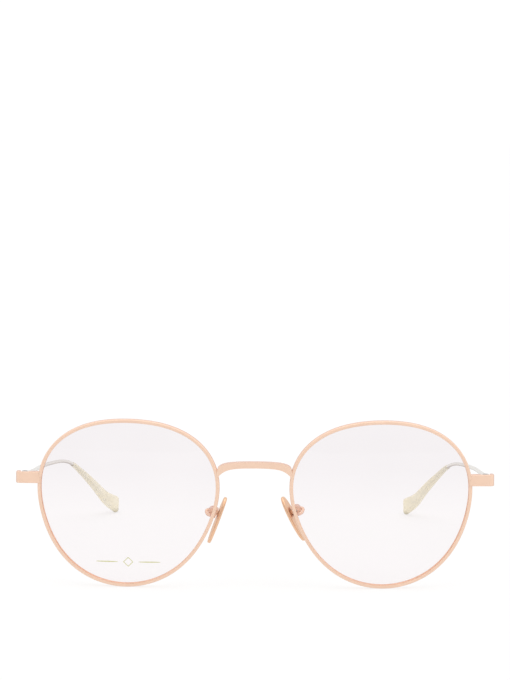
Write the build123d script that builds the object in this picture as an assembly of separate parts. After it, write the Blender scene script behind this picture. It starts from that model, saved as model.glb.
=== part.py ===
from build123d import *
import os
from math import atan2, cos, degrees, pi, radians, sin, sqrt

# Round wire eyeglasses, open, standing on a table.
# Millimetres. +Z is up from the table, +X is the wearer's left, -Y is the way the wearer looks.
# The origin is on the table, midway between the two rims.

# ---- driving sizes -------------------------------------------------------------------------
EYE_WIDTH = 51.8          # lens box width, measured at the groove bottom
EYE_HEIGHT = 48.3         # lens box height
BRIDGE_WIDTH = 21.4       # distance between the lens boxes
FRONT_LEAN = 3.0          # degrees, top of the front tipped away from the wearer
WRAP = 4.0                # degrees, each lens turned back at its outer side

WIRE_WIDTH = 1.0          # rim wire, seen from the front
WIRE_DEPTH = 1.85         # rim wire, front to back
WIRE_OUTER_ROUND = 0.45   # corner radius outside the rim
WIRE_INNER_ROUND = 0.2    # corner radius on the lens side
GROOVE_DEPTH = 0.35       # V groove inside the rim
GROOVE_SLOPE = 1.4        # groove half width per depth
BEVEL_GAP = 0.04          # lens bevel to groove
RIM_SLIT = 0.04           # saw cut that lets the rim open

LENS_RADIUS = 130.0       # front curve
LENS_THICKNESS = 1.5

BRIDGE_DEPTH = 1.6        # bar, front to back
BRIDGE_BOW = 42.0         # radius of the bar seen from above
BRIDGE_FRONT_Y = -1.5     # middle of the bar, ahead of the rims

LUG_HEIGHT = 7.1          # end piece above the lens centre line
LUG_TALL = 3.35
LUG_THICK = 1.1
LUG_ROUND = 0.25          # edge radius
LUG_CORNER_X = 68.95      # centre line of the part bent back
LUG_BEND = 1.3            # bend radius on the centre line
LUG_REAR_Y = 7.6          # where the end piece stops
LUG_DROP = 0.5            # how far the bent part has sunk at its rear end

LOCK_LONG = 3.0           # rim lock block, away from the rim
LOCK_DEEP = 2.0           # front to back
LOCK_HALF_TALL = 1.3      # one of the two halves
LOCK_ROUND = 0.8
LOCK_GAP = 0.16           # to the turned strip ahead of it
LOCK_SCREW_RADIUS = 0.5
LOCK_HEAD_RADIUS = 0.8
LOCK_HEAD_TALL = 0.4

JOINT_GAP = 0.02          # solder gap between joined pieces
TEMPLE_GAP = 0.08         # temple to end piece when open

BARREL_RADIUS = 1.15      # hinge
HINGE_PIN_RADIUS = 0.55
HINGE_HEAD_RADIUS = 0.85
HINGE_HEAD_TALL = 0.25
RUNNING_GAP = 0.03        # hinge pin in its bores
PRESS_GAP = 0.01          # pins in the bores that hold them
LEAF_GAP = 0.04           # between hinge leaves
LEAF_TALL = 0.8           # one of three hinge leaves
PLATE_THICK = 0.6         # hinge plate
FRONT_PLATE_LONG = 2.7
TEMPLE_PLATE_LONG = 4.2
TEMPLE_SLOPE = 11.0       # degrees, the temple leaves the hinge sloping down, from the front's normal

PAD_LONG = 14.5
PAD_WIDE = 7.6
PAD_THICK = 0.95
PAD_FRONTAL = 24.0        # degrees from upright, middle of the rocking range
PAD_SPLAY = 1.5           # degrees, rear edge turned outward
PAD_CENTRE = (11.1, 6.0, -5.2)      # from the bridge centre on the lens line
PAD_LUG_UP = 2.0          # lug sits above the pad centre
PAD_REACH = 1.95          # pad middle plane to its pivot
PAD_PIN_RADIUS = 0.4
PAD_ARM_RADIUS = 0.5
BOX_TALL, BOX_WIDE, BOX_DEEP = 2.7, 2.8, 2.5
BOX_WALL = 0.5            # closed side of the pad box
BOX_ROUND = 1.2           # its outer edges, nearly a half barrel
BOX_OPEN_X = -1.05        # open side of the pad box, from the pivot

# the wearer has bent and turned the two pads a little differently
LEFT_PAD_ROCK = 3.5       # degrees, how the pad rests
LEFT_PAD_TWIST = 5.5      # degrees, plate turned on its lug
LEFT_PAD_SINK = 0.0       # arm bent down
RIGHT_PAD_ROCK = -3.5
RIGHT_PAD_TWIST = 0.0
RIGHT_PAD_SINK = 0.7

SLEEVE_START_Y = 105.0    # where the tip sleeve starts
CORE_END_Y = 130.0        # where the wire core ends inside the sleeve
CORE_RADIUS = 0.45
TEMPLE_END = (48.9, 133.8, 2.21)
BORE_GAP = 0.03
TIP_ROUND = 0.9           # rounding of the sleeve's end

# ---- frames --------------------------------------------------------------------------------
EYE_CENTRE_X = (EYE_WIDTH + BRIDGE_WIDTH) / 2
EYE_CENTRE_Y = EYE_WIDTH / 2 * sin(radians(WRAP))
WIRE_INSIDE = -GROOVE_DEPTH
WIRE_OUTSIDE = WIRE_WIDTH - GROOVE_DEPTH
LENS_LINE_Z = (
    (EYE_HEIGHT / 2 + WIRE_OUTSIDE - WIRE_OUTER_ROUND) * cos(radians(FRONT_LEAN))
    + WIRE_OUTER_ROUND
    + (WIRE_DEPTH / 2 - WIRE_OUTER_ROUND - EYE_CENTRE_Y) * sin(radians(FRONT_LEAN))
)
FRONT = Location((0, 0, LENS_LINE_Z), (FRONT_LEAN, 0, 0))
EYE = FRONT * Location((EYE_CENTRE_X, EYE_CENTRE_Y, 0), (0, 0, WRAP))


# ---- lens outline --------------------------------------------------------------------------
def raw_outline(turn):
    """A circle pulled to a soft round shape, wider above the middle."""
    reach = (
        1.0 - 0.131 * sin(turn) - 0.038 * cos(2 * turn) - 0.009 * sin(2 * turn)
        - 0.007 * cos(3 * turn) + 0.050 * sin(3 * turn)
    )
    return reach * cos(turn), reach * sin(turn)


SAMPLES = [raw_outline(radians(step)) for step in range(360)]
LOW_X, HIGH_X = min(p[0] for p in SAMPLES), max(p[0] for p in SAMPLES)
LOW_Z, HIGH_Z = min(p[1] for p in SAMPLES), max(p[1] for p in SAMPLES)
SCALE_X = EYE_WIDTH / (HIGH_X - LOW_X)
SCALE_Z = EYE_HEIGHT / (HIGH_Z - LOW_Z)


def groove_point(turn):
    x, z = raw_outline(turn)
    return (x - (LOW_X + HIGH_X) / 2) * SCALE_X, (z - (LOW_Z + HIGH_Z) / 2) * SCALE_Z


def outline_frame(turn):
    """Point on the groove line, its tangent and its outward normal, in the lens plane."""
    x, z = groove_point(turn)
    ahead, behind = groove_point(turn + 0.001), groove_point(turn - 0.001)
    dx, dz = ahead[0] - behind[0], ahead[1] - behind[1]
    size = sqrt(dx * dx + dz * dz)
    tangent = Vector(dx / size, 0, dz / size)
    return Vector(x, 0, z), tangent, Vector(dz / size, 0, -dx / size)


def outline_wire(offset, count=48):
    points = []
    for step in range(count):
        point, _, normal = outline_frame(radians(360 * step / count))
        points.append(point + normal * offset)
    return Wire([Spline(points, periodic=True)])


def outline_plane(turn):
    point, tangent, normal = outline_frame(turn)
    return Plane(origin=point, x_dir=normal, z_dir=tangent)


def sweep_outline(section):
    """Sweep a section drawn as (outward, depth) round the groove line."""
    face = outline_plane(0) * section
    return sweep(face, path=outline_wire(0))


def rim_reach(height, offset=None, side=1):
    """X of the rim at a height in the lens plane: side +1 is the temple side, -1 the nose side."""
    offset = WIRE_OUTSIDE if offset is None else offset
    turn = 0.0 if side > 0 else pi
    for _ in range(20):
        point, _, normal = outline_frame(turn)
        edge = point + normal * offset
        turn += side * (height - edge.Z) / 26
    return edge.X


# ---- rim, lens, bridge ---------------------------------------------------------------------
def rim_section(grow=0.0):
    middle = (WIRE_INSIDE + WIRE_OUTSIDE) / 2
    body = Rectangle(WIRE_WIDTH + 2 * grow, WIRE_DEPTH + 2 * grow)
    sides = body.vertices().group_by(Axis.X)
    body = fillet(sides[-1], WIRE_OUTER_ROUND)
    body = fillet(body.vertices().group_by(Axis.X)[0], WIRE_INNER_ROUND)
    return Pos(middle, 0) * body


def rim(grow=0.0):
    section = rim_section(grow)
    if grow == 0.0:
        reach = GROOVE_DEPTH + 0.1
        groove = Polygon((0, 0), (-reach, reach * GROOVE_SLOPE), (-reach, -reach * GROOVE_SLOPE), align=None)
        section -= groove
    wire = sweep_outline(section)
    if grow == 0.0:
        wire -= Pos(EYE_WIDTH / 2 + 1, 0, LUG_HEIGHT) * Box(6, 4, RIM_SLIT)
    return EYE * wire


def lens():
    lip = GROOVE_DEPTH + BEVEL_GAP
    half = GROOVE_DEPTH * GROOVE_SLOPE
    inner = -4.0
    bevel = Polygon((-BEVEL_GAP, 0), (-lip, half), (inner, half), (inner, -half), (-lip, -half), align=None)
    ring = sweep_outline(bevel)
    disc = extrude(Face(outline_wire(-lip)), amount=3, dir=(0, 1, 0), both=True)
    blank = disc + ring
    sagitta = LENS_RADIUS - sqrt(LENS_RADIUS**2 - (EYE_WIDTH / 2) ** 2)
    middle_y = LENS_RADIUS - sagitta - LENS_THICKNESS / 2
    blank &= Pos(0, middle_y, 0) * Sphere(LENS_RADIUS)
    blank -= Pos(0, middle_y, 0) * Sphere(LENS_RADIUS - LENS_THICKNESS)
    return EYE * blank


def bridge(rims):
    top = [(10.7, 10.8), (9.95, 11.75), (8.8, 12.3), (6.4, 12.8), (0, 13.1)]
    low = [(10.2, 8.8), (9.4, 9.55), (8.0, 10.4), (5.6, 11.0), (0, 11.3)]
    leg_in, leg_out = (10.4, 8.2), (11.2, 8.2)
    upper = Spline(top + [(-x, z) for x, z in reversed(top[:-1])])
    lower = Spline(low + [(-x, z) for x, z in reversed(low[:-1])])
    right = Polyline(low[0], leg_in, leg_out, top[0])
    left = mirror(right, about=Plane.YZ)
    shape = make_face([upper.edge(), lower.edge()] + right.edges() + left.edges())
    bar = extrude(Plane.XZ * shape, amount=6, both=True)
    strip = Cylinder(BRIDGE_BOW + BRIDGE_DEPTH / 2, 40) - Cylinder(BRIDGE_BOW - BRIDGE_DEPTH / 2, 40)
    bar &= Pos(0, BRIDGE_BOW + BRIDGE_FRONT_Y, 0) * strip
    bar = FRONT * bar
    for rim_body in rims:
        bar -= rim_body
    return bar


# ---- end piece and rim lock ----------------------------------------------------------------
LUG_START = rim_reach(LUG_HEIGHT) - 0.6
LUG_START_X = EYE_CENTRE_X + LUG_START * cos(radians(WRAP))
LUG_FRONT_Y = EYE_CENTRE_Y + LUG_START * sin(radians(WRAP)) - WIRE_DEPTH / 2 + LUG_THICK / 2
LOCK_FRONT = -WIRE_DEPTH / 2 + LUG_THICK + LOCK_GAP
LOCK_BOTTOM = -LOCK_HALF_TALL - RIM_SLIT / 2
SCREW_SLOT = 0.22


def end_piece(rim_tool):
    """Strip across the back of the rim, bent back; it is turned so that its rear end has sunk."""
    slope = sin(radians(WRAP)) / cos(radians(WRAP))
    corner_y = LUG_FRONT_Y + (LUG_CORNER_X - LUG_START_X) * slope
    path = FilletPolyline(
        (LUG_START_X, LUG_FRONT_Y), (LUG_CORNER_X, corner_y), (LUG_CORNER_X, LUG_REAR_Y + 1), radius=LUG_BEND
    )
    start = Plane(origin=path @ 0, x_dir=(0, 0, 1), z_dir=path % 0)
    strip = sweep(start * RectangleRounded(LUG_TALL, LUG_THICK, LUG_ROUND), path=path)
    fall = degrees(atan2(LUG_DROP, LUG_REAR_Y - LUG_FRONT_Y))
    strip = Pos(0, LUG_FRONT_Y, LUG_HEIGHT) * (Rot(-fall, 0, 0) * (Pos(0, -LUG_FRONT_Y, 0) * strip))
    strip -= Pos(LUG_CORNER_X, LUG_REAR_Y + 2, LUG_HEIGHT) * Box(6, 4, 10)
    return FRONT * strip - rim_tool


def rim_lock(rim_tool, side):
    """One half barrel: side +1 is the upper half, -1 the lower one, which takes the screw head."""
    block = Box(LOCK_LONG + 0.5, LOCK_DEEP, LOCK_HALF_TALL, align=(Align.MIN, Align.MIN, Align.CENTER))
    outer = block.edges().filter_by(Axis.Z).group_by(Axis.X)[-1]
    block = fillet(outer, LOCK_ROUND)
    middle = side * (LOCK_HALF_TALL + RIM_SLIT) / 2
    block = Pos(rim_reach(LUG_HEIGHT) - 0.5, LOCK_FRONT, LUG_HEIGHT + middle) * block
    block -= lock_axis() * Cylinder(LOCK_SCREW_RADIUS + PRESS_GAP, 8)
    if side < 0:
        recess = LOCK_HEAD_TALL + JOINT_GAP
        room = Cylinder(LOCK_HEAD_RADIUS + 0.03, recess)
        block -= lock_axis() * (Pos(0, 0, LOCK_BOTTOM + recess / 2) * room)
    return EYE * block - rim_tool


def lock_axis():
    return Pos(rim_reach(LUG_HEIGHT) + LOCK_LONG / 2, LOCK_FRONT + LOCK_DEEP / 2, LUG_HEIGHT)


def slotted_screw(shank_radius, shank_long, head_radius, head_tall, slot):
    """Screw with its head above Z = 0 and its shank below."""
    head = Pos(0, 0, head_tall / 2) * Cylinder(head_radius, head_tall)
    head = fillet(head.edges().group_by(Axis.Z)[-1], head_tall * 0.45)
    head -= Pos(0, 0, head_tall) * Box(3 * head_radius, slot, head_tall * 0.9)
    shank = Pos(0, 0, -shank_long / 2 + 0.05) * Cylinder(shank_radius, shank_long + 0.1)
    shank = chamfer(shank.edges().group_by(Axis.Z)[0], shank_radius * 0.3)
    return head + shank


def rim_lock_screw():
    shank = 2 * LOCK_HALF_TALL + RIM_SLIT - LOCK_HEAD_TALL
    screw = slotted_screw(LOCK_SCREW_RADIUS, shank, LOCK_HEAD_RADIUS, LOCK_HEAD_TALL, SCREW_SLOT)
    upside_down = Rot(180, 0, 0) * screw
    return EYE * (lock_axis() * (Pos(0, 0, LOCK_BOTTOM + LOCK_HEAD_TALL) * upside_down))


# ---- hinge ---------------------------------------------------------------------------------
LUG_INNER_X = LUG_CORNER_X - LUG_THICK / 2
HINGE_X = LUG_INNER_X - BARREL_RADIUS - 0.05
HINGE_Y = LUG_REAR_Y + TEMPLE_GAP / 2
HINGE_HEIGHT = LUG_HEIGHT - LUG_DROP
HINGE_WALL = LUG_INNER_X - HINGE_X - JOINT_GAP      # hinge axis to the face the plates lie on
LEAF_PITCH = LEAF_TALL + LEAF_GAP
HINGE_HALF_TALL = 1.5 * LEAF_PITCH - LEAF_GAP / 2
HINGE = FRONT * Location((HINGE_X, HINGE_Y, HINGE_HEIGHT))


def leaf(height, bore, direction):
    """Barrel ring with an arm to the plate; direction -1 goes to the front, +1 to the temple."""
    ring = Cylinder(BARREL_RADIUS, LEAF_TALL)
    arm_long = 2.1
    arm = Pos(HINGE_WALL / 2, direction * arm_long / 2, 0) * Box(HINGE_WALL, arm_long, LEAF_TALL)
    body = ring + arm
    body -= Cylinder(bore, 4)
    return Pos(0, 0, height) * body


def hinge_plate(long, direction):
    plate = Box(PLATE_THICK, long, 2 * HINGE_HALF_TALL)
    return Pos(HINGE_WALL - PLATE_THICK / 2, direction * (long / 2 + TEMPLE_GAP / 2), 0) * plate


def barrel_room(tall):
    return Cylinder(BARREL_RADIUS + 0.06, tall)


def hinge_front():
    body = hinge_plate(FRONT_PLATE_LONG, -1)
    body -= barrel_room(LEAF_TALL + 2 * LEAF_GAP)
    body += leaf(LEAF_PITCH, HINGE_PIN_RADIUS + RUNNING_GAP, -1)
    body += leaf(-LEAF_PITCH, HINGE_PIN_RADIUS + PRESS_GAP, -1)
    return HINGE * body


def hinge_screw():
    top = HINGE_HALF_TALL + JOINT_GAP
    screw = slotted_screw(HINGE_PIN_RADIUS, 2 * top, HINGE_HEAD_RADIUS, HINGE_HEAD_TALL, SCREW_SLOT)
    return HINGE * (Pos(0, 0, top) * screw)


def hinge_temple(temple_tool):
    plate = Rot(-TEMPLE_SLOPE, 0, 0) * hinge_plate(TEMPLE_PLATE_LONG, 1)
    plate -= Pos(0, TEMPLE_GAP / 2 - 5, 0) * Box(20, 10, 20)
    for side in (-1, 1):
        plate -= Pos(0, 0, side * (LEAF_TALL / 2 + LEAF_GAP + 2)) * barrel_room(4 + 2 * LEAF_GAP)
    body = plate + leaf(0, HINGE_PIN_RADIUS + RUNNING_GAP, 1)
    return HINGE * body - temple_tool


# ---- temple and tip ------------------------------------------------------------------------
def temple_path():
    """From inside the end piece's rear end, back along the head and down behind the ear."""
    start = (FRONT * Location((LUG_CORNER_X, LUG_REAR_Y - 0.6, HINGE_HEIGHT))).position
    points = [
        start, (69.7, 28, 29.0), (69.7, 50, 26.2), (68.6, 72, 24.6), (66.6, 88, 23.4), (64.5, 97, 22.6),
        (61.9, 104, 20.9), (58.6, 111.8, 16.4), (55.0, 119.7, 10.8), (51.7, 127.4, 5.35), TEMPLE_END,
    ]
    fall = radians(TEMPLE_SLOPE - FRONT_LEAN)
    return Spline(points, tangents=[(0.05, cos(fall), -sin(fall)), (-0.4, 1.0, -0.48)])


TEMPLE_PATH = temple_path()


def share_at(y):
    """Share of the temple path's length at which it has run back to y."""
    low, high = 0.0, 1.0
    for _ in range(30):
        middle = (low + high) / 2
        if (TEMPLE_PATH @ middle).Y < y:
            low = middle
        else:
            high = middle
    return low


def station(share):
    """Section plane on the temple path: plane X is up, plane Y is across."""
    along = TEMPLE_PATH % share
    across = Vector(1, 0, 0) - along * along.X
    up = across.cross(along).normalized()
    return Plane(origin=TEMPLE_PATH @ share, x_dir=up, z_dir=along)


def section_row(rows):
    """Rounded rectangles on the temple path; rows are (y, tall, thick, corner radius)."""
    return [
        station(share_at(y)) * RectangleRounded(tall, thick, corner) for y, tall, thick, corner in rows
    ]


# flat blade at the hinge, then a thin wire
BLADE_ROWS = [
    (0, 2.7, 1.1, 0.25), (11, 2.5, 1.1, 0.3), (16, 2.2, 1.15, 0.4), (28, 1.7, 1.2, 0.5),
    (50, 1.35, 1.2, 0.55), (72, 1.2, 1.2, 0.55), (88, 1.2, 1.15, 0.55), (97, 1.1, 1.1, 0.53),
    (SLEEVE_START_Y - BORE_GAP, 1.15, 1.15, 0.55),
]
SLEEVE_ROWS = [
    (SLEEVE_START_Y, 1.4, 1.35, 0.62), (108, 1.75, 1.5, 0.7), (112, 2.25, 1.7, 0.8), (116, 2.8, 1.85, 0.85),
    (120, 3.4, 1.95, 0.9), (124.5, 4.2, 2.1, 1.0), (129, 5.0, 2.2, 1.05), (TEMPLE_END[1], 5.7, 2.2, 1.05),
]


def core(radius, start_y, end_y):
    """Round wire along the temple path, inside the sleeve."""
    first, last = share_at(start_y), share_at(end_y)
    path = TEMPLE_PATH.trim(first, last)
    return sweep(Plane(origin=path @ 0, z_dir=path % 0) * Circle(radius), path=path)


def temple():
    arm = loft(section_row(BLADE_ROWS))
    arm += core(CORE_RADIUS, SLEEVE_START_Y - 3, CORE_END_Y)
    front_block = FRONT * (Pos(LUG_CORNER_X, LUG_REAR_Y + TEMPLE_GAP - 5, LUG_HEIGHT) * Box(20, 10, 20))
    return arm - front_block


def temple_tip():
    """Moulded sleeve that widens towards its rounded end, with a bore for the wire core."""
    shell = loft(section_row(SLEEVE_ROWS))
    end = shell.faces().sort_by(Axis.Y)[-1]
    shell = fillet(end.edges(), TIP_ROUND)
    return shell - core(CORE_RADIUS + BORE_GAP, SLEEVE_START_Y - 2, CORE_END_Y + BORE_GAP)


# ---- nose pads -----------------------------------------------------------------------------
def pad_holder(sink):
    """Pad frame at the pivot: X away from the nose, Y along the screw to the rear, Z up the pad."""
    angle = radians(PAD_FRONTAL)
    pivot = Vector(*PAD_CENTRE) + Vector(
        PAD_REACH * cos(angle) - PAD_LUG_UP * sin(angle), 0,
        PAD_REACH * sin(angle) + PAD_LUG_UP * cos(angle) - sink,
    )
    turned = Location((0, 0, 0), (0, -PAD_FRONTAL, 0)) * Location((0, 0, 0), (0, 0, -PAD_SPLAY))
    return FRONT * Location(pivot) * turned


def nose_pad(sink, rock, twist):
    face = Plane.YZ * Ellipse(PAD_WIDE / 2, PAD_LONG / 2)
    plate = extrude(face, amount=PAD_THICK / 2, both=True)
    plate = fillet(plate.edges(), PAD_THICK * 0.44)
    plate = Pos(-PAD_REACH, 0, -PAD_LUG_UP) * (Rot(0, 0, -twist) * plate)
    lug_radius, lug_wide = 0.55, 1.3
    lug = Box(PAD_REACH - 0.3, lug_wide, 2 * lug_radius, align=(Align.MAX, Align.CENTER, Align.CENTER))
    lug += Rot(90, 0, 0) * Cylinder(lug_radius, lug_wide)
    lug -= Rot(90, 0, 0) * Cylinder(PAD_PIN_RADIUS + 0.05, 3)
    return pad_holder(sink) * (Rot(0, -rock, 0) * (plate + lug))


def pad_box(sink):
    block = Pos(BOX_OPEN_X + BOX_DEEP / 2, 0, 0) * Box(BOX_DEEP, BOX_WIDE, BOX_TALL)
    outer = block.edges().filter_by(Axis.Y).group_by(Axis.X)[-1]
    block = fillet(outer, BOX_ROUND)
    cavity_deep, cavity_wide, cavity_tall = BOX_DEEP - BOX_WALL, 1.5, 1.7
    block -= Pos(BOX_OPEN_X + cavity_deep / 2, 0, 0) * Box(cavity_deep, cavity_wide, cavity_tall)
    block -= Rot(90, 0, 0) * Cylinder(PAD_PIN_RADIUS + PRESS_GAP, 6)
    return pad_holder(sink) * block


def pad_screw(sink):
    screw = slotted_screw(PAD_PIN_RADIUS, BOX_WIDE + 0.2, 0.75, 0.4, 0.2)
    return pad_holder(sink) * (Pos(0, BOX_WIDE / 2 + JOINT_GAP, 0) * (Rot(-90, 0, 0) * screw))


def pad_arm(rim_tool, sink):
    """Bent wire from the back of the rim round to the pad box."""
    foot_z = -3.0
    foot_x = EYE_CENTRE_X + rim_reach(foot_z, offset=0.2, side=-1) * cos(radians(WRAP))
    points = [
        (foot_x, 0.4, foot_z), (12.4, 3.2, -3.3 - sink / 2), (13.8, 5.0, -3.0 - sink),
        (14.0, 6.0, -2.3 - sink), (12.9, 6.2, -2.0 - sink),
    ]
    path = Spline(points, tangents=[(0.3, 1, 0), (-1, 0.1, 0.1)])
    start = Plane(origin=path @ 0, z_dir=path % 0)
    arm = FRONT * sweep(start * Circle(PAD_ARM_RADIUS), path=path) - rim_tool
    # the wire stops at the outside of the box, and does not enter its open side
    clear, mouth = 2 * JOINT_GAP, 2.0
    block = Box(BOX_DEEP + mouth + clear, BOX_WIDE + clear, BOX_TALL + clear)
    return arm - pad_holder(sink) * (Pos(BOX_OPEN_X + (BOX_DEEP - mouth) / 2, 0, 0) * block)


# ---- write the pieces ----------------------------------------------------------------------
def flipped(body):
    return mirror(body, about=Plane.YZ)


def save(body, name):
    solids = body.solids()
    if len(solids) != 1:
        print("warning", name, "has", len(solids), "solids")
    export_step(solids[0], f"parts/{name}.step")
    low, high = body.bounding_box().min, body.bounding_box().max
    print(f"{name:24s} {low.X:7.2f} {low.Y:7.2f} {low.Z:7.2f} {high.X:7.2f} {high.Y:7.2f} {high.Z:7.2f}")


def main():
    os.makedirs("parts", exist_ok=True)
    rim_tool = rim(grow=JOINT_GAP)
    arm = temple()
    pairs = {
        "rim": rim(),
        "lens": lens(),
        "end_piece": end_piece(rim_tool),
        "rim_lock_upper": rim_lock(rim_tool, 1),
        "rim_lock_lower": rim_lock(rim_tool, -1),
        "rim_lock_screw": rim_lock_screw(),
        "hinge_front": hinge_front(),
        "hinge_screw": hinge_screw(),
        "hinge_temple": hinge_temple(arm),
        "temple": arm,
        "temple_tip": temple_tip(),
    }
    for name, body in pairs.items():
        save(body, "left_" + name)
        save(flipped(body), "right_" + name)
    left_pad = {
        "pad_arm": pad_arm(rim_tool, LEFT_PAD_SINK),
        "pad_box": pad_box(LEFT_PAD_SINK),
        "pad_screw": pad_screw(LEFT_PAD_SINK),
        "nose_pad": nose_pad(LEFT_PAD_SINK, LEFT_PAD_ROCK, LEFT_PAD_TWIST),
    }
    for name, body in left_pad.items():
        save(body, "left_" + name)
    right_pad = {
        "pad_arm": pad_arm(rim_tool, RIGHT_PAD_SINK),
        "pad_box": pad_box(RIGHT_PAD_SINK),
        "pad_screw": pad_screw(RIGHT_PAD_SINK),
        "nose_pad": nose_pad(RIGHT_PAD_SINK, RIGHT_PAD_ROCK, RIGHT_PAD_TWIST),
    }
    for name, body in right_pad.items():
        save(flipped(body), "right_" + name)
    save(bridge([rim_tool, flipped(rim_tool)]), "bridge")


main()
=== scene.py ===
import math

import bmesh
import bpy
from mathutils import Matrix, Vector
from mathutils.bvhtree import BVHTree

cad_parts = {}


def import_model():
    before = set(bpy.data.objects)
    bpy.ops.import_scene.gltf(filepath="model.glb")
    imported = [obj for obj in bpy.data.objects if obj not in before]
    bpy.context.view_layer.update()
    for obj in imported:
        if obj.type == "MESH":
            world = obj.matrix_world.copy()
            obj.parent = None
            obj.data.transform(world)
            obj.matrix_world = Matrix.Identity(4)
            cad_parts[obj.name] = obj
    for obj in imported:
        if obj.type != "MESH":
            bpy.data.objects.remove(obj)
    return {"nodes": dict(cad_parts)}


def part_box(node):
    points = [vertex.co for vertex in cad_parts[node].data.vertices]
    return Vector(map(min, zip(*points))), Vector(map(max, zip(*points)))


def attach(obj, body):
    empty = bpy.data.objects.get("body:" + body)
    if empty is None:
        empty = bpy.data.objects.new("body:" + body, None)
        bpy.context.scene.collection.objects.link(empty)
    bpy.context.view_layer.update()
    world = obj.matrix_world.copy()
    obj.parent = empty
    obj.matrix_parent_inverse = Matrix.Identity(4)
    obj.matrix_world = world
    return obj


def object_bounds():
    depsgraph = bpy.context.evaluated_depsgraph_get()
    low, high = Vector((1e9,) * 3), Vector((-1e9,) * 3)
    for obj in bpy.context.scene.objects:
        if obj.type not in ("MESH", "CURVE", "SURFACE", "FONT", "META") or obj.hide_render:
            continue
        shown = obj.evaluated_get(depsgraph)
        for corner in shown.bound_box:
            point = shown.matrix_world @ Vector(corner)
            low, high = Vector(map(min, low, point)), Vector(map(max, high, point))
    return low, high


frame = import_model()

MM = 0.001
NODES = frame["nodes"]
CAD_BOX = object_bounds()


# ---- small helpers -------------------------------------------------------------------------
SRGB_BEND = 0.04045       # below this, the sRGB curve is a straight line
SRGB_SLOPE = 12.92
SRGB_OFFSET = 0.055
SRGB_POWER = 2.4


def linear(red, green, blue):
    """A colour given in 0-255 screen values, as Blender's linear numbers."""
    def channel(value):
        value /= 255
        if value <= SRGB_BEND:
            return value / SRGB_SLOPE
        return ((value + SRGB_OFFSET) / (1 + SRGB_OFFSET)) ** SRGB_POWER
    return (channel(red), channel(green), channel(blue), 1.0)


MIX_FACTOR, MIX_FIRST, MIX_SECOND = 0, 6, 7     # colour sockets of Blender's mix node
MIX_RESULT = 2


class Tree:
    """A node tree being written: add() makes a node, sets its inputs and links the sockets given."""

    def __init__(self, name):
        self.material = bpy.data.materials.new(name)
        self.material.use_nodes = True
        self.tree = self.material.node_tree
        self.tree.nodes.clear()
        self.coordinates = self.add("ShaderNodeTexCoord").outputs["Object"]

    def add(self, kind, inputs=None, **settings):
        made = self.tree.nodes.new(kind)
        for key, value in settings.items():
            setattr(made, key, value)
        for key, value in (inputs or {}).items():
            if isinstance(value, bpy.types.NodeSocket):
                self.tree.links.new(value, made.inputs[key])
            else:
                made.inputs[key].default_value = value
        return made

    def noise(self, scale, detail=2.0, roughness=0.5):
        """Noise whose features are about 1 / scale millimetres wide."""
        return self.add("ShaderNodeTexNoise", {
            "Vector": self.coordinates, "Scale": scale / MM, "Detail": detail, "Roughness": roughness,
        }).outputs["Fac"]

    def ramp(self, fac, low, high, start=0.0, end=1.0):
        """A colour that goes from low to high as fac goes from start to end."""
        made = self.add("ShaderNodeValToRGB", {"Fac": fac})
        made.color_ramp.elements[0].position = start
        made.color_ramp.elements[0].color = low
        made.color_ramp.elements[1].position = end
        made.color_ramp.elements[1].color = high
        return made.outputs["Color"]

    def mix(self, fac, first, second, blend="MIX"):
        """Two colours mixed or, with another blend, combined."""
        inputs = {MIX_FACTOR: fac, MIX_FIRST: first, MIX_SECOND: second}
        return self.add("ShaderNodeMix", inputs, data_type="RGBA", blend_type=blend).outputs[MIX_RESULT]

    def value_map(self, value, low, high, to_low, to_high):
        """Value's stretch from low to high, carried to the stretch from to_low to to_high."""
        return self.add("ShaderNodeMapRange", {
            "Value": value, "From Min": low, "From Max": high, "To Min": to_low, "To Max": to_high,
        }).outputs["Result"]

    def bump(self, height, distance):
        """A surface relief, distance in millimetres."""
        return self.add("ShaderNodeBump", {"Height": height, "Strength": 1.0, "Distance": distance * MM})

    def axis(self, vector, letter):
        """One coordinate of a vector."""
        return self.add("ShaderNodeSeparateXYZ", {0: vector}).outputs[letter]

    def normal(self):
        return self.add("ShaderNodeNewGeometry").outputs["Normal"]

    def math(self, operation, first, second=0.0):
        return self.add("ShaderNodeMath", {0: first, 1: second}, operation=operation).outputs[0]

    def facing(self, blend):
        return self.add("ShaderNodeLayerWeight", {"Blend": blend}).outputs["Facing"]

    def finish(self, shader):
        self.add("ShaderNodeOutputMaterial", {"Surface": shader.outputs[0]})
        return self.material


# ---- materials -----------------------------------------------------------------------------
def lacquer():
    """Pale peach satin lacquer over metal: soft flow in the coat, and painted shade that deepens the tone
    at grazing angles.
    """
    t = Tree("frame_lacquer")
    cloud = t.noise(0.12, 3.0)
    tone = t.ramp(cloud, linear(247, 211, 186), linear(251, 216, 191), 0.3, 0.7)
    fine = t.ramp(t.noise(9.0, 2.0), (0.97, 0.97, 0.97, 1), (1.0, 1.0, 1.0, 1), 0.35, 0.6)
    tone = t.mix(1.0, tone, fine, "MULTIPLY")
    # painted shade: the lacquer darkens towards its grazing edges, standing in for the shading of the
    # round wire
    painted_edge_shade = t.value_map(t.facing(0.5), 0.42, 0.85, 0.0, 0.85)
    tone = t.mix(painted_edge_shade, tone, linear(200, 148, 128))
    flow = t.bump(t.noise(1.6, 2.0), 0.004)
    return t.finish(t.add("ShaderNodeBsdfPrincipled", {
        "Base Color": tone, "Roughness": t.value_map(cloud, 0.3, 0.7, 0.34, 0.42),
        "Specular IOR Level": 0.45, "Coat Weight": 0.25, "Coat Roughness": 0.16, "Normal": flow.outputs[0],
    }))


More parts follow.
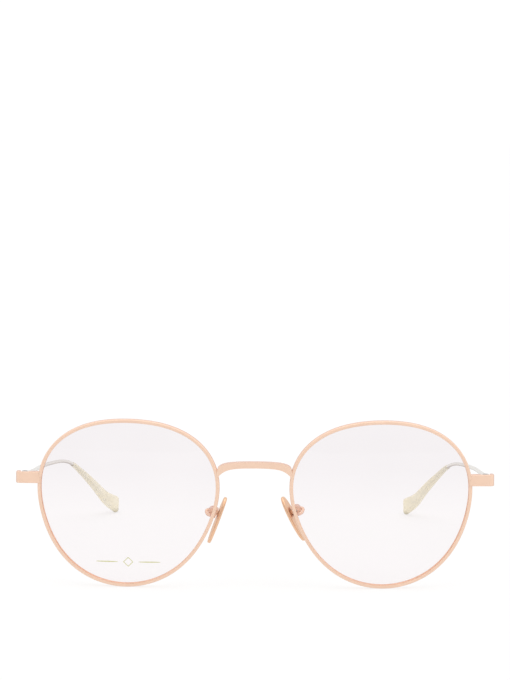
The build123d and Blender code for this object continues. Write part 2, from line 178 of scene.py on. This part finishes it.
def temple_metal():
    """Polished pale metal: fine drawn lines along the arm, with painted shade that darkens it at its edges
    and underneath.
    """
    t = Tree("temple_metal")
    stretched = t.add("ShaderNodeMapping", {
        "Vector": t.coordinates, "Scale": (1.0 / MM, 0.05 / MM, 1.0 / MM),
    }).outputs[0]
    lines = t.add("ShaderNodeTexNoise", {"Vector": stretched, "Scale": 14.0, "Detail": 3.0}).outputs["Fac"]
    tone = t.ramp(lines, linear(240, 238, 232), linear(248, 246, 241), 0.35, 0.65)
    # painted shade: the metal darkens at its grazing edges
    painted_edge_shade = t.value_map(t.facing(0.5), 0.6, 1.0, 0.0, 0.5)
    tone = t.mix(painted_edge_shade, tone, linear(160, 148, 142))
    # painted shade: faces turned downward are darkened
    painted_underside_shade = t.value_map(t.axis(t.normal(), "Z"), 0.0, -0.7, 0.0, 0.55)
    tone = t.mix(painted_underside_shade, tone, linear(150, 134, 126))
    grain = t.bump(lines, 0.002)
    return t.finish(t.add("ShaderNodeBsdfPrincipled", {
        "Base Color": tone, "Metallic": 1.0, "Roughness": t.value_map(lines, 0.3, 0.7, 0.16, 0.26),
        "Normal": grain.outputs[0],
    }))


def pad_metal():
    """Satin rose gold of the nose pads and their boxes."""
    t = Tree("pad_metal")
    cloud = t.noise(0.8, 4.0)
    tone = t.ramp(cloud, linear(232, 190, 156), linear(241, 202, 170), 0.3, 0.7)
    # painted shade: the pads darken at their grazing edges
    painted_edge_shade = t.value_map(t.facing(0.5), 0.6, 1.0, 0.0, 0.5)
    tone = t.mix(painted_edge_shade, tone, linear(196, 146, 108))
    grain = t.bump(t.noise(22.0, 2.0), 0.002)
    return t.finish(t.add("ShaderNodeBsdfPrincipled", {
        "Base Color": tone, "Metallic": 0.9, "Roughness": t.value_map(cloud, 0.3, 0.7, 0.36, 0.46),
        "Normal": grain.outputs[0],
    }))


def screw_steel():
    """Small turned screws: bright steel with fine scratches."""
    t = Tree("screw_steel")
    scratch = t.noise(6.0, 4.0, 0.7)
    tone = t.ramp(scratch, linear(168, 162, 156), linear(206, 200, 194), 0.3, 0.7)
    grain = t.bump(scratch, 0.004)
    return t.finish(t.add("ShaderNodeBsdfPrincipled", {
        "Base Color": tone, "Metallic": 1.0, "Roughness": t.value_map(scratch, 0.3, 0.7, 0.28, 0.4),
        "Normal": grain.outputs[0],
    }))


def lens_clear():
    """Coated clear lens: a faint cool tint with painted shade, deeper at the top and lighter low down, a
    painted warm reflection of the frame at its bevel, and a weak mirror that grows at grazing.
    """
    t = Tree("lens_clear")
    cloud = t.noise(0.04, 1.0)
    tint = t.ramp(cloud, (0.950, 0.932, 0.939, 1), (0.960, 0.943, 0.949, 1), 0.3, 0.7)
    # painted shade: the tint is deeper at the top of the lens and lifts low down
    height = t.axis(t.coordinates, "Z")
    tint = t.mix(t.value_map(height, 35 * MM, 22 * MM, 0.0, 1.0), tint, (0.975, 0.96, 0.963, 1))
    face_on = t.math("ABSOLUTE", t.axis(t.normal(), "Y"))
    bevel = t.value_map(face_on, 0.93, 0.8, 0.0, 1.0)
    # painted reflection: near its bevel the glass takes the frame's warm peach colour
    tint = t.mix(bevel, tint, (0.97, 0.90, 0.86, 1))
    clear = t.add("ShaderNodeBsdfTransparent", {"Color": tint})
    mirror = t.add("ShaderNodeBsdfGlossy", {"Color": (0.95, 0.96, 1.0, 1), "Roughness": 0.02})
    grazing = t.math("POWER", t.facing(0.5), 4.0)
    shine = t.value_map(grazing, 0.0, 1.0, 0.012, 0.3)
    shine = t.math("MULTIPLY", shine, t.value_map(bevel, 0.0, 1.0, 1.0, 0.1))
    return t.finish(t.add("ShaderNodeMixShader", {0: shine, 1: clear.outputs[0], 2: mirror.outputs[0]}))


def tip_acetate():
    """Cream acetate with faint streaks, slightly see-through; painted shade makes it mauve on its upward
    faces and olive at its lowest corner, near the floor.
    """
    t = Tree("tip_plastic")
    stretched = t.add("ShaderNodeMapping", {
        "Vector": t.coordinates, "Scale": (0.5 / MM, 0.08 / MM, 0.25 / MM),
    }).outputs[0]
    streak = t.add("ShaderNodeTexNoise", {"Vector": stretched, "Scale": 0.9, "Detail": 2.0}).outputs["Fac"]
    tone = t.ramp(streak, linear(253, 248, 230), linear(255, 252, 240), 0.3, 0.7)
    # painted shade: faces turned upward take a mauve-brown tone
    tone = t.mix(t.value_map(t.axis(t.normal(), "Z"), 0.72, 0.95, 0.0, 0.3), tone, linear(206, 184, 178))
    # painted shade: the tip turns olive-dark towards its lowest corner, where it rests on the floor
    low = t.value_map(t.axis(t.coordinates, "Z"), 1.6 * MM, 0.0, 0.0, 0.55)
    tone = t.mix(low, tone, linear(150, 144, 104))
    see_through = t.add("ShaderNodeBsdfTransparent", {"Color": tone})
    milky = t.add("ShaderNodeBsdfPrincipled", {"Base Color": tone, "Roughness": 0.12})
    glow = t.add("ShaderNodeBsdfTranslucent", {"Color": tone})
    body = t.add("ShaderNodeMixShader", {0: 0.35, 1: milky.outputs[0], 2: glow.outputs[0]})
    return t.finish(t.add("ShaderNodeMixShader", {0: 0.93, 1: see_through.outputs[0], 2: body.outputs[0]}))


FINISHES = {
    "frame_lacquer": lacquer(),
    "temple_metal": temple_metal(),
    "pad_metal": pad_metal(),
    "screw_steel": screw_steel(),
    "lens_clear": lens_clear(),
    "tip_plastic": tip_acetate(),
}


def finish_for(name):
    """The finish of a CAD node, by what the piece is."""
    if "screw" in name:
        return "screw_steel"
    if "lens" in name:
        return "lens_clear"
    if "temple_tip" in name:
        return "tip_plastic"
    if name.endswith("_temple"):
        return "temple_metal"
    if "nose_pad" in name:
        return "pad_metal"
    return "frame_lacquer"


for name, part in NODES.items():
    finish = finish_for(name)
    part.data.materials.clear()
    part.data.materials.append(FINISHES[finish])


# ---- printed mark on one lens ----------------------------------------------------------------
MARK_ABOVE_EDGE = 7.0 * MM      # mark's middle above the lens's lowest point
MARK_LIFT = 0.02 * MM           # print stands proud of the glass
MARK_START = 1 * MM             # rays to the glass start this far in front of it
MARK_BAR_LONG = 6.4 * MM
MARK_BAR_HALF_TALL = 0.17 * MM
MARK_BAR_MIDDLE = 6.2 * MM      # from the mark's middle
MARK_LOZENGE = 1.5 * MM         # half its height
MARK_LINE = 0.3 * MM            # width of the lozenge's outline
MARK_BAR_TIP = 0.3              # a bar's height at its ends, as a share of its middle's
MARK_WELD = 1e-7                # the lozenge's first and last corners are one point
BAR_STEPS = 16


def print_gold():
    """Thin pale gold print, a little worn."""
    t = Tree("print_gold")
    tone = t.ramp(t.noise(2.5, 3.0), linear(206, 206, 150), linear(226, 222, 172), 0.3, 0.7)
    return t.finish(t.add("ShaderNodeBsdfPrincipled", {
        "Base Color": tone, "Metallic": 0.3, "Roughness": t.value_map(t.noise(5.0), 0.3, 0.7, 0.3, 0.5),
    }))


def strip_faces(shape, upper, lower):
    """Quads between two rows of points."""
    rows = [[shape.verts.new(point) for point in row] for row in (upper, lower)]
    for step in range(len(upper) - 1):
        shape.faces.new((rows[0][step], rows[1][step], rows[1][step + 1], rows[0][step + 1]))


def lens_mark(lens_name):
    """A plain lozenge outline between two thin bars, laid on the front of the lens."""
    low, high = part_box(lens_name)
    middle_x = (low.x + high.x) / 2
    middle_z = low.z + MARK_ABOVE_EDGE
    glass = BVHTree.FromPolygons(
        [vertex.co for vertex in NODES[lens_name].data.vertices],
        [face.vertices for face in NODES[lens_name].data.polygons],
    )

    def on_glass(x, z):
        point = Vector((middle_x + x, low.y - MARK_START, middle_z + z))
        hit = glass.ray_cast(point, Vector((0, 1, 0)))[0]
        return hit - Vector((0, MARK_LIFT, 0))

    shape = bmesh.new()
    for side in (-1, 1):
        shares = [step / BAR_STEPS for step in range(BAR_STEPS + 1)]
        spread = [side * MARK_BAR_MIDDLE + MARK_BAR_LONG * (share - 0.5) for share in shares]
        swell = [math.sin(math.pi * share) ** 0.5 for share in shares]
        half = [MARK_BAR_HALF_TALL * (MARK_BAR_TIP + (1 - MARK_BAR_TIP) * grown) for grown in swell]
        upper = [on_glass(x, z) for x, z in zip(spread, half)]
        lower = [on_glass(x, -z) for x, z in zip(spread, half)]
        strip_faces(shape, upper, lower)
    corners = [(1, 0), (0, 1), (-1, 0), (0, -1), (1, 0)]
    outer = [on_glass(x * MARK_LOZENGE, z * MARK_LOZENGE) for x, z in corners]
    inner = [on_glass(x * (MARK_LOZENGE - MARK_LINE), z * (MARK_LOZENGE - MARK_LINE)) for x, z in corners]
    strip_faces(shape, outer, inner)
    bmesh.ops.remove_doubles(shape, verts=shape.verts, dist=MARK_WELD)
    mesh = bpy.data.meshes.new("right_lens_mark")
    shape.to_mesh(mesh)
    shape.free()
    mesh.materials.append(print_gold())
    made = bpy.data.objects.new("right_lens_mark", mesh)
    bpy.context.scene.collection.objects.link(made)
    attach(made, "front")


lens_mark("right_lens")


# ---- stage ---------------------------------------------------------------------------------
FLOOR_GLOW = 0.72         # share of the floor's brightness that shadows don't reach
FLOOR_RADIUS = 4.0
FLOOR_EDGES = 96
LIGHT_BEHIND_CAMERA = 0.55
LIGHT_AHEAD = 1.0
SEEN_WHITE = 1.05         # the backdrop as the camera sees it
KEY_SPREAD = 60           # degrees across the softbox
KEY_STRENGTH = 1.1


def floor():
    """Pale table lit from below as well, as a light table is, so that shadows stay faint."""
    t = Tree("floor")
    tone = t.ramp(t.noise(0.02, 2.0), (0.89, 0.89, 0.89, 1), (0.9, 0.9, 0.9, 1), 0.3, 0.7)
    plain = t.add("ShaderNodeBsdfPrincipled", {
        "Base Color": tone, "Roughness": 0.7, "Specular IOR Level": 0.2,
    })
    glow = t.add("ShaderNodeEmission", {"Color": (1, 1, 1, 1), "Strength": 1.0})
    t.finish(t.add("ShaderNodeMixShader", {0: FLOOR_GLOW, 1: plain.outputs[0], 2: glow.outputs[0]}))
    mesh = bpy.data.meshes.new("floor")
    shape = bmesh.new()
    bmesh.ops.create_circle(shape, cap_ends=True, segments=FLOOR_EDGES, radius=FLOOR_RADIUS)
    shape.to_mesh(mesh)
    shape.free()
    mesh.materials.append(t.material)
    ground = bpy.data.objects.new("floor", mesh)
    bpy.context.scene.collection.objects.link(ground)
    ground.location.z = CAD_BOX[0].z


def world():
    """White all round for the eye; for lighting, dimmer behind the camera, as in a studio."""
    made = bpy.data.worlds.new("studio")
    bpy.context.scene.world = made
    made.use_nodes = True
    nodes, links = made.node_tree.nodes, made.node_tree.links
    nodes.clear()
    direction = nodes.new("ShaderNodeSeparateXYZ")
    links.new(nodes.new("ShaderNodeTexCoord").outputs["Generated"], direction.inputs[0])
    dim = nodes.new("ShaderNodeMapRange")
    dim.interpolation_type = "SMOOTHSTEP"
    dim.inputs["From Min"].default_value = -0.95
    dim.inputs["From Max"].default_value = 0.1
    dim.inputs["To Min"].default_value = LIGHT_BEHIND_CAMERA
    dim.inputs["To Max"].default_value = LIGHT_AHEAD
    links.new(direction.outputs["Y"], dim.inputs["Value"])
    light = nodes.new("ShaderNodeBackground")
    light.inputs["Color"].default_value = (1.0, 0.995, 0.99, 1)
    links.new(dim.outputs["Result"], light.inputs["Strength"])
    seen = nodes.new("ShaderNodeBackground")
    seen.inputs["Color"].default_value = (1, 1, 1, 1)
    seen.inputs["Strength"].default_value = SEEN_WHITE
    path = nodes.new("ShaderNodeLightPath")
    pick = nodes.new("ShaderNodeMixShader")
    output = nodes.new("ShaderNodeOutputWorld")
    links.new(path.outputs["Is Camera Ray"], pick.inputs[0])
    links.new(light.outputs[0], pick.inputs[1])
    links.new(seen.outputs[0], pick.inputs[2])
    links.new(pick.outputs[0], output.inputs["Surface"])


def soft_sun(name, direction, spread, strength):
    """A large far softbox: direction points from the object to the light."""
    lamp = bpy.data.lights.new(name, "SUN")
    lamp.angle = math.radians(spread)
    lamp.energy = strength
    made = bpy.data.objects.new(name, lamp)
    bpy.context.scene.collection.objects.link(made)
    made.rotation_mode = "QUATERNION"
    made.rotation_quaternion = (-Vector(direction)).to_track_quat("-Z", "Y")


floor()
world()
soft_sun("key", (0.1, -0.35, 1.0), KEY_SPREAD, KEY_STRENGTH)

# ---- camera --------------------------------------------------------------------------------
CAMERA_DISTANCE = 0.800
CAMERA_LENS = 146.1
SENSOR_WIDTH = 36.0
CAMERA_ELEVATION = math.radians(9.4)
CAMERA_SIDE = math.radians(0.95)          # the camera stands a little towards +X
CAMERA_PITCH = math.radians(5.995)
CAMERA_ROLL = math.radians(0.269)
CAMERA_TURN = math.radians(-0.0094)
TARGET_X = -0.00019
TARGET_Z = 0.025                          # the lens line
scene = bpy.context.scene
camera = bpy.data.objects.new("camera", bpy.data.cameras.new("camera"))
scene.collection.objects.link(camera)
camera.data.sensor_width = SENSOR_WIDTH
camera.data.lens = CAMERA_LENS
camera.data.clip_start = 0.01
camera.data.clip_end = 20.0
level = CAMERA_DISTANCE * math.cos(CAMERA_ELEVATION)
camera.location = (
    TARGET_X + level * math.sin(CAMERA_SIDE),
    -level * math.cos(CAMERA_SIDE),
    TARGET_Z + CAMERA_DISTANCE * math.sin(CAMERA_ELEVATION),
)
aim = (
    Matrix.Rotation(CAMERA_SIDE + CAMERA_TURN, 4, "Z")
    @ Matrix.Rotation(math.radians(90) - CAMERA_PITCH, 4, "X")
    @ Matrix.Rotation(CAMERA_ROLL, 4, "Z")
)
camera.rotation_euler = aim.to_euler()
scene.camera = camera
scene.view_settings.view_transform = "Standard"
scene.view_settings.look = "None"
